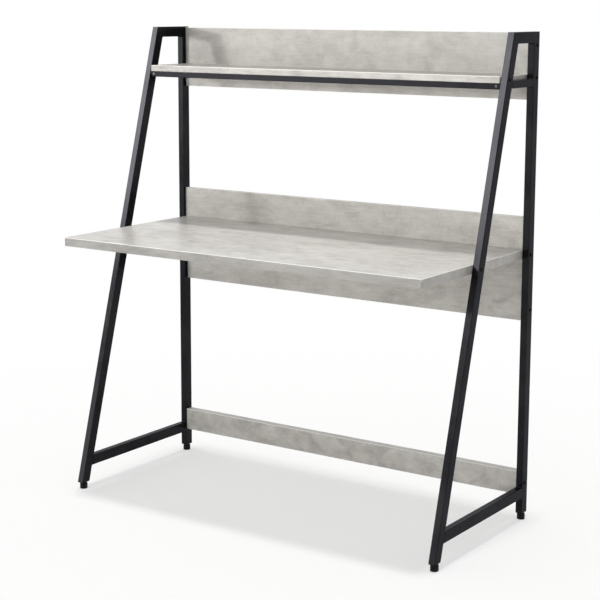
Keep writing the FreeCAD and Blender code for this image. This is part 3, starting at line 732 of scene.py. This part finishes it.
# Tones of the edge bands, as painted light and shade: the desktop's bands are darkened as painted shade
# on its front edge.
BAND_LIGHT_AND_SHADE_TONES = {
    "desktop": 0.7, "upper_shelf": 0.99, "upper_back_panel": 0.96, "backsplash": 1.03,
    "modesty_panel": 0.82, "lower_stretcher": 0.98,
}
BAND_PRINT = BoardPrint(1.0, 1.0, 0.3, 0.5, 2.0)  # takes its tone and patches from its board
SHEET_START, SHEET_STEP = Vector((1.1, 0, 0)), Vector((2.3, 0.7, 1.3))  # the print's shift, in metres
BAND_START, BAND_STEP = Vector((5.3, 2.1, 0)), Vector((0.8, 0, 1.3))
THIN_BOARD = 0.018  # boards no thicker than this have thinner bands
SEAM = 0.00004  # how far a sheet's faces lie below the rims of its band
EASED_EDGE = 0.00022  # rounding of a sheet's own edges


def make_core(board, low, high, flat_axis, thickness):
    """The board inside its band, a hair thinner than the band, with eased edges."""
    inner_low = Vector(low) + Vector([thickness] * 3)
    inner_high = Vector(high) - Vector([thickness] * 3)
    inner_low[flat_axis] = low[flat_axis] + SEAM
    inner_high[flat_axis] = high[flat_axis] - SEAM
    core = add_block(f"{board}_sheet", inner_low, inner_high)
    edit(core)
    bpy.ops.mesh.select_all(action="SELECT")
    bevel_edges(EASED_EDGE, 2)
    return keep_flats(smooth(close(core)))


def make_band(board, low, high, flat_axis, share):
    """The band round a board's four edges, with round corners and rounded arrises."""
    sizes = settings("details")
    corner = sizes.band_corner * share
    band = add_block(f"{board}_edge_band", low, high)
    edit(band)
    choose_faces(band, lambda middle, normal: abs(normal[flat_axis]) > FACING)
    bpy.ops.mesh.delete(type="ONLY_FACE")
    choose_edges(band, lambda a, b: not at_bounds(a[flat_axis], b[flat_axis]))
    bevel_edges(corner, 4)
    close(band)
    finish_with(band, "SOLIDIFY", thickness=sizes.band * share, offset=-1.0, use_even_offset=True)
    edit(band)
    choose_edges(band, lambda a, b: all(on_rim_outline(p, low, high, flat_axis, corner) for p in (a, b))
                 and at_bounds(a[flat_axis], b[flat_axis]))
    bevel_edges(sizes.arris * share, 4)
    return keep_flats(smooth(close(band)))


def on_rim_outline(point, low, high, flat_axis, corner):
    """True for a point on the outer outline of one of a band's two flat rims."""
    if not any(at_bounds(point[flat_axis], bound[flat_axis]) for bound in (low, high)):
        return False
    across = [axis for axis in range(3) if axis != flat_axis]
    gaps = [min(point[axis] - low[axis], high[axis] - point[axis]) for axis in across]
    if max(gaps) >= corner:
        return min(gaps) < TOUCH
    return at_bounds(math.hypot(corner - gaps[0], corner - gaps[1]), corner, 2 * TOUCH)


class DESK_OT_boards(bpy.types.Operator):
    """Build each board as a laminated sheet inside its edge band"""

    bl_idname = "ladder_desk.boards"
    bl_label = "Boards"

    def execute(self, context):
        sizes = settings("details")
        for place, (board, sheet_print) in enumerate(PRINTS.items()):
            low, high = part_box(board)
            flat_axis = Z_AXIS if board in FLAT_BOARDS else Y_AXIS
            share = 1.0 if (high - low)[flat_axis] > THIN_BOARD else sizes.thin
            core = make_core(board, low, high, flat_axis, sizes.band * share)
            shift = SHEET_START + place * SHEET_STEP
            laminate = make_laminate(f"laminate_{board}", shift, sheet_print)
            dress(core, laminate, DESK_BODY)
            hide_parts(board)
            finish_node(board, laminate)

            band = make_band(board, low, high, flat_axis, share)
            shift = BAND_START + place * BAND_STEP
            band_print = BAND_PRINT._replace(tone=BAND_LIGHT_AND_SHADE_TONES[board], patches=sheet_print.patches)
            laminate = make_laminate(f"band_{board}", shift, band_print)
            dress(band, laminate, DESK_BODY)
        return {"FINISHED"}


# ---------------------------------------------------------------------------------------------------
# Side frames

BEAD_RIPPLES = 9
BEAD_CREST = 1.2  # of the bead's radius, on its ripples
BEAD_TIP = 0.55  # the same, at its ends
BEAD_SHARE = 0.82  # of the tube's width that a bead takes


def make_bead(length, radius):
    """One weld bead along X with its ripples, centred on the origin."""
    bead = add_disc("bead", radius, -length / 2, length / 2, X_AXIS, 12)
    step = length / (2 * BEAD_RIPPLES)
    for place in range(1, 2 * BEAD_RIPPLES):
        edit(bead)
        bpy.ops.mesh.select_all(action="SELECT")
        bpy.ops.mesh.bisect(plane_co=(place * step - length / 2, 0, 0), plane_no=(1, 0, 0))
        close(bead)
    edit(bead)
    choose_level(bead, X_AXIS, *[(2 * i + 1) * step - length / 2 for i in range(BEAD_RIPPLES)])
    bpy.ops.transform.resize(value=(1, BEAD_CREST, BEAD_CREST))
    choose_faces(bead, lambda middle, normal: abs(normal.x) > FACING)
    bpy.ops.transform.resize(value=(1, BEAD_TIP, BEAD_TIP))
    close(bead)
    finish_with(bead, "SUBSURF", levels=1, render_levels=1)
    return smooth(bead, 60)


def leg_rear(side, z):
    """The y of a leg's rear face at a height, from the two bars that end on it."""
    foot_low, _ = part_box(f"{side}_foot_bar")
    shelf_low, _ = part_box(f"{side}_shelf_bar")
    share = (z - foot_low.z) / (shelf_low.z - foot_low.z)
    return foot_low.y + share * (shelf_low.y - foot_low.y)


def bead_places(side):
    """Where the bars of a side frame meet the leg and the post, as x, y and z."""
    places = []
    post_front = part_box(f"{side}_rear_post")[0].y
    for bar in ("foot_bar", "shelf_bar", "top_bar"):
        low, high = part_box(f"{side}_{bar}")
        middle = (low.x + high.x) / 2
        levels = (low.z,) if bar == "top_bar" else (low.z, high.z)
        for z in levels:
            places += [(middle, leg_rear(side, z), z), (middle, post_front, z)]
    return places


class DESK_OT_side_frames(bpy.types.Operator):
    """Finish the tubes of both side frames and lay their weld beads"""

    bl_idname = "ladder_desk.side_frames"
    bl_label = "Side frames"

    def execute(self, context):
        sizes = settings("details")
        steel = finish("frame_steel")
        for side in SIDES:
            for tube in TUBES:
                finish_node(f"{side}_{tube}", steel)
            low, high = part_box(f"{side}_foot_bar")
            bead = make_bead((high.x - low.x) * BEAD_SHARE, sizes.bead)
            placements = [Matrix.Translation(place) for place in bead_places(side)]
            welds = place_copies(bead, f"{side}_frame_welds", placements)
            dress(welds, steel, DESK_BODY)
        return {"FINISHED"}


# ---------------------------------------------------------------------------------------------------
# Fasteners

BOLT_HEAD, BOLT_SHANK, BOLT_LENGTH = 0.00525, 0.003, 0.033  # two radii, and the length below the head
PANEL_SCREW_HEAD, PANEL_SCREW_SHANK, PANEL_SCREW_LENGTH = 0.00475, 0.0025, 0.05
RAIL_SCREW_HEAD, RAIL_SCREW_SHANK = 0.0035, 0.002
PANEL_SCREW_ARM, RAIL_SCREW_ARM = 0.0024, 0.0019  # reach of a cross recess from the screw's axis
RECESS_DEPTH = 0.0013
HEAD_ROUND = 0.62  # of a head's height
SHANK_ROUND = 0.2  # of a shank's radius
OVERCUT = 0.001  # how far a cutter stands out of what it cuts
HEAD_SPACING = 0.02  # less than lies between two heads, more than one head measures


def middle_of(points):
    """The middle of the box round some points."""
    low = Vector([min(p[i] for p in points) for i in range(3)])
    high = Vector([max(p[i] for p in points) for i in range(3)])
    return (low + high) / 2


def round_ends(node, axis, outer):
    """Middles of a node's round faces that lie at an outer coordinate, on both sides where it is x."""
    groups = []
    for vertex in NODES[node].data.vertices:
        point = vertex.co.copy()
        reached = abs(point[axis]) if axis == X_AXIS else point[axis]
        if not at_bounds(reached, outer, 5 * TOUCH):
            continue
        near = [group for group in groups if (group[0] - point).length < HEAD_SPACING]
        if near:
            near[0].append(point)
        else:
            groups.append([point])
    return [middle_of(group) for group in groups]


def make_button_head(name, radius, height, shank_radius, reach):
    """A button-head screw along X, with its seat at the origin and its head towards +X."""
    screw = add_disc(name, radius, 0, height, X_AXIS, 48)
    edit(screw)
    choose_level(screw, X_AXIS, height)
    bevel_edges(height * HEAD_ROUND, 5)
    choose_faces(screw, lambda middle, normal: normal.x < -FACING)
    bpy.ops.mesh.inset(thickness=radius - shank_radius)
    bpy.ops.mesh.extrude_region_move(TRANSFORM_OT_translate={"value": (-reach, 0, 0)})
    choose_level(screw, X_AXIS, -reach)
    bevel_edges(shank_radius * SHANK_ROUND, 2)
    return close(screw)


def cut_hex_socket(screw, height, sizes):
    """A hexagon socket in the head."""
    radius = sizes.hex_key / math.sqrt(3)
    cutter = add_disc("socket", radius, height - sizes.socket_depth, height + OVERCUT, X_AXIS, 6)
    return cut_away(screw, cutter)


def cut_cross_recess(screw, height, reach, sizes):
    """A cross recess whose arms grow shallower outwards."""
    half = sizes.cross_width / 2
    for low, high in (((-half, -reach), (half, reach)), ((-reach, -half), (reach, half))):
        cutter = add_block("recess", (height - RECESS_DEPTH, *low), (height + OVERCUT, *high))
        edit(cutter)
        choose_faces(cutter, lambda middle, normal: normal.x < -FACING)
        narrow = (1, 1, 0.5) if high[1] > high[0] else (1, 0.5, 1)
        bpy.ops.transform.resize(value=narrow)
        close(cutter)
        cut_away(screw, cutter)
    return screw


def towards(point, seat_x):
    """Placement of a screw made along X at a place on the left or the right frame."""
    side = math.copysign(1, point.x)
    turn = Matrix.Rotation(0 if side > 0 else math.pi, 4, "Z")
    return Matrix.Translation((side * seat_x, point.y, point.z)) @ turn


class DESK_OT_fasteners(bpy.types.Operator):
    """Build the bolts and screws with their sockets, and finish the hidden fittings"""

    bl_idname = "ladder_desk.fasteners"
    bl_label = "Fasteners"

    def execute(self, context):
        sizes = settings("details")
        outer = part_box("board_bolts")[1].x
        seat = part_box("right_rear_post")[1].x
        height = outer - seat
        black = finish("bolt_black")

        bolt = make_button_head("bolt", BOLT_HEAD, height, BOLT_SHANK, BOLT_LENGTH)
        bolt = smooth(cut_hex_socket(bolt, height, sizes), 30)
        places = [towards(p, seat) for p in round_ends("board_bolts", X_AXIS, outer)]
        bolts = place_copies(bolt, "board_bolt_heads", places)
        dress(bolts, black, DESK_BODY)
        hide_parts("board_bolts")
        finish_node("board_bolts", black)

        screw = make_button_head(
            "screw", PANEL_SCREW_HEAD, height, PANEL_SCREW_SHANK, PANEL_SCREW_LENGTH)
        screw = smooth(cut_cross_recess(screw, height, PANEL_SCREW_ARM, sizes), 30)
        places = [towards(p, seat) for p in round_ends("panel_screws", X_AXIS, outer)]
        screws = place_copies(screw, "panel_screw_heads", places)
        dress(screws, black, DESK_BODY)
        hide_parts("panel_screws")
        finish_node("panel_screws", black)

        finish_node("board_inserts", finish("insert_zinc"))
        for dowels in ("backsplash_dowels", "modesty_dowels", "shelf_dowels"):
            finish_node(dowels, finish("dowel_beech"))
        return {"FINISHED"}


class DESK_OT_front_rail(bpy.types.Operator):
    """Finish the rail under the shelf and build its two bright screws"""

    bl_idname = "ladder_desk.front_rail"
    bl_label = "Front rail"

    def execute(self, context):
        sizes = settings("details")
        for node in ("shelf_front_rail", "rail_tabs"):
            finish_node(node, finish("frame_steel"))
        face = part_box("shelf_front_rail")[0].y
        head_top, shank_end = (corner.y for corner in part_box("rail_screws"))
        height = face - head_top
        screw = make_button_head(
            "rail_screw", RAIL_SCREW_HEAD, height, RAIL_SCREW_SHANK, shank_end - face)
        screw = smooth(cut_cross_recess(screw, height, RAIL_SCREW_ARM, sizes), 30)
        turn = Matrix.Rotation(-math.pi / 2, 4, "Z")
        places = [
            Matrix.Translation((p.x, face, p.z)) @ turn
            for p in round_ends("rail_screws", Y_AXIS, head_top)]
        screws = place_copies(screw, "rail_screw_heads", places)
        dress(screws, finish("screw_bright"), DESK_BODY)
        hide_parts("rail_screws")
        finish_node("rail_screws", finish("screw_bright"))
        return {"FINISHED"}


# ---------------------------------------------------------------------------------------------------
# Feet

FOOT_SHOULDER = 0.0163  # from the floor to the top of the pad's drum
NECK_RADIUS = 0.0065
SHOULDER_ROUND, RIM_ROUND, NECK_ROUND = 0.0016, 0.0009, 0.0005


def make_foot(height, neck_height, radius, neck_radius):
    """A moulded levelling foot on the Z axis, standing on the origin."""
    foot = add_disc("foot", radius, 0, height, Z_AXIS, 64)
    edit(foot)
    choose_faces(foot, lambda middle, normal: normal.z > FACING)
    bpy.ops.mesh.inset(thickness=radius - neck_radius)
    bpy.ops.mesh.extrude_region_move(TRANSFORM_OT_translate={"value": (0, 0, neck_height)})
    choose_edges(foot, lambda a, b: all(
        at_bounds(p.z, height) and p.xy.length > radius * 0.95 for p in (a, b)))
    bevel_edges(SHOULDER_ROUND, 4)
    choose_level(foot, Z_AXIS, 0)
    bevel_edges(RIM_ROUND, 3)
    choose_level(foot, Z_AXIS, height + neck_height)
    bevel_edges(NECK_ROUND, 2)
    return smooth(close(foot), 40)


class DESK_OT_feet(bpy.types.Operator):
    """Build the moulded levelling feet and finish their plugs and studs"""

    bl_idname = "ladder_desk.feet"
    bl_label = "Feet"

    def execute(self, context):
        for corner in CORNERS:
            low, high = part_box(f"{corner}_foot_pad")
            middle = (low + high) / 2
            radius = (high.x - low.x) / 2
            foot = make_foot(FOOT_SHOULDER, high.z - FOOT_SHOULDER, radius, NECK_RADIUS)
            placement = Matrix.Translation((middle.x, middle.y, low.z))
            foot = place_copies(foot, f"{corner}_foot_moulding", [placement])
            dress(foot, finish("foot_plastic"), f"{corner}_foot")
            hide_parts(f"{corner}_foot_pad")
            finish_node(f"{corner}_foot_pad", finish("foot_plastic"))
            finish_node(f"{corner}_plug", finish("plug_plastic"))
            finish_node(f"{corner}_foot_stud", finish("stud_steel"))
        return {"FINISHED"}


# ---------------------------------------------------------------------------------------------------
# Stage

FLOOR_SIZE = 40
FLOOR_LEVEL = -0.0004  # a hair below the feet
FADE = (1.05, 2.4)  # distances from the desk's middle between which the floor turns plain white
OVERHEAD_PLACE = (0, -0.1, 4)
FRONT_PLACE = (-9.43, -8.20, 2.70)
FRONT_TARGET = (0, 0, 7.4)  # so high that the cone's lower edge passes above the desktop
BOX_TARGET = (0, 0, 0.9)
SOFT_BOXES = {  # place, width, height and share of the power
    "near": ((-3.05, -6.56, 4.6), 2.4, 2.6, 0.45),
    "far": ((-5.7, -5.49, 4.1), 2.4, 2.6, 0.55),
    "low": ((-4.3, -5.6, 0.95), 3.2, 0.7, 0.06),
}


def seen_rays(wiring):
    """1 for rays that come from the camera, a gloss or a glass, which all see the plain background."""
    path = wiring.add("ShaderNodeLightPath")
    seen = wiring.math("MAXIMUM", path.outputs["Is Camera Ray"], path.outputs["Is Glossy Ray"])
    return wiring.math("MAXIMUM", seen, path.outputs["Is Transmission Ray"])


def mix_shaders(wiring, factor, first, second):
    """Mix two shader nodes."""
    inputs = {0: factor, 1: first.outputs[0], 2: second.outputs[0]}
    return wiring.add("ShaderNodeMixShader", inputs).outputs[0]


def make_floor_material(look):
    """Pale floor that keeps the desk's shadow and fades into the plain background."""
    material, wiring, place = open_material("pale_floor")
    patches = clouds(wiring, place, 0.9, 1.0, 2.0, 0.2, 0.2)
    shade = wiring.mix_color(patches, color(look.floor), color([c * 0.99 for c in look.floor]))
    paint = wiring.add("ShaderNodeBsdfPrincipled", {
        "Base Color": shade, "Roughness": 0.9, "Specular IOR Level": 0.0})
    glow = wiring.add("ShaderNodeEmission", {"Color": WHITE, "Strength": 1.0})
    away = wiring.add("ShaderNodeVectorMath", {0: place}, operation="LENGTH")
    far = wiring.spread(away.outputs["Value"], *FADE)
    white = wiring.mix_value(far, look.floor_glow, 1.0)
    factor = wiring.math("MULTIPLY", white, seen_rays(wiring))
    surface = mix_shaders(wiring, factor, paint, glow)
    wiring.add("ShaderNodeOutputMaterial", {"Surface": surface})
    return material


def make_floor(look):
    """A wide floor just under the feet."""
    deselect()
    bpy.ops.mesh.primitive_plane_add(size=FLOOR_SIZE, location=(0, 0, FLOOR_LEVEL))
    floor = settle(bpy.context.object, "floor")
    edit(floor)
    bpy.ops.mesh.select_all(action="SELECT")
    bpy.ops.mesh.subdivide(number_cuts=4)
    close(floor)
    floor.data.materials.append(make_floor_material(look))


def make_world(look):
    """Soft light from all round that leans to the left, and a plain white background."""
    world = bpy.data.worlds.new("studio")
    bpy.context.scene.world = world
    world.use_nodes = True
    wiring = Wiring(world.node_tree)
    direction = wiring.add("ShaderNodeTexCoord").outputs["Object"]
    rightwards = wiring.add("ShaderNodeSeparateXYZ", {"Vector": direction}).outputs["X"]
    strength = wiring.math("MULTIPLY_ADD", rightwards, -look.sky_lean * look.sky, look.sky)
    fill = wiring.add("ShaderNodeBackground", {"Color": WHITE, "Strength": strength})
    plain = wiring.add("ShaderNodeBackground", {"Color": WHITE, "Strength": 1.0})
    surface = mix_shaders(wiring, seen_rays(wiring), fill, plain)
    wiring.add("ShaderNodeOutputWorld", {"Surface": surface})


def add_lamp(name, kind, place, target, **values):
    """A lamp that points at a target."""
    deselect()
    bpy.ops.object.light_add(type=kind, location=place)
    lamp = bpy.context.object
    lamp.name = name
    lamp.rotation_euler = (Vector(target) - Vector(place)).to_track_quat("-Z", "Y").to_euler()
    for key, value in values.items():
        setattr(lamp.data, key, value)
    return lamp


def make_lamps(look):
    """An overhead lamp, a low one at the front left, and three soft boxes that only gloss mirrors."""
    add_lamp(
        "overhead", "SUN", OVERHEAD_PLACE, (0, 0, 0), energy=look.sun, angle=math.radians(5.5))
    front = add_lamp(
        "front_left", "SPOT", FRONT_PLACE, FRONT_TARGET, energy=look.key, shadow_soft_size=0.65,
        spot_size=math.radians(60), spot_blend=0.04)
    front.visible_glossy = False
    for name, (place, width, height, share) in SOFT_BOXES.items():
        box = add_lamp(
            f"soft_box_{name}", "AREA", place, BOX_TARGET, energy=look.sheen * share,
            shape="RECTANGLE", size=width, size_y=height)
        box.visible_diffuse = False


def make_camera(look):
    """The camera, turned about the vertical, dropped and rolled."""
    bpy.ops.object.camera_add(location=look.camera_place)
    camera = bpy.context.object
    camera.name = "camera"
    turn = Matrix.Rotation(look.camera_turn, 3, "Z")
    drop = Matrix.Rotation(math.pi / 2 - look.camera_drop, 3, "X")
    roll = Matrix.Rotation(look.camera_roll, 3, "Z")
    camera.rotation_euler = (turn @ drop @ roll).to_euler()
    camera.data.sensor_width = 36
    camera.data.lens = look.lens
    camera.data.shift_y = look.rise
    camera.data.clip_end = 100
    bpy.context.scene.camera = camera


class DESK_OT_stage(bpy.types.Operator):
    """Make the floor, the background, the lamps and the camera"""

    bl_idname = "ladder_desk.stage"
    bl_label = "Stage"

    def execute(self, context):
        look = settings("studio")
        make_floor(look)
        make_world(look)
        make_lamps(look)
        make_camera(look)
        context.scene.view_settings.view_transform = "Standard"
        return {"FINISHED"}


# ---------------------------------------------------------------------------------------------------
# Panel and registration

OPERATORS = (
    DESK_OT_stage, DESK_OT_side_frames, DESK_OT_boards, DESK_OT_front_rail, DESK_OT_fasteners,
    DESK_OT_feet,
)


class DESK_PT_panel(bpy.types.Panel):
    """Lists the pieces of the desk and their values"""

    bl_idname = "DESK_PT_panel"
    bl_label = "Ladder Desk"
    bl_space_type = "VIEW_3D"
    bl_region_type = "UI"
    bl_category = "Ladder Desk"

    def draw(self, context):
        layout = self.layout
        for operator in OPERATORS:
            layout.operator(operator.bl_idname)
        for part, look in SETTINGS.items():
            column = layout.column(align=True)
            column.label(text=look.__doc__)
            for name in look.__annotations__:
                column.prop(getattr(context.scene, part), name)


CLASSES = (*SETTINGS.values(), *OPERATORS, DESK_PT_panel)


def register():
    """Register the classes and hang the values on the scene."""
    for kind in CLASSES:
        bpy.utils.register_class(kind)
    for part, look in SETTINGS.items():
        setattr(bpy.types.Scene, part, PointerProperty(type=look))


def unregister():
    """Undo register."""
    for part in SETTINGS:
        delattr(bpy.types.Scene, part)
    for kind in reversed(CLASSES):
        bpy.utils.unregister_class(kind)


def main():
    """Build the whole desk in order."""
    register()
    for operator in OPERATORS:
        group, name = operator.bl_idname.split(".")
        getattr(getattr(bpy.ops, group), name)()


if __name__ == "__main__":
    main()
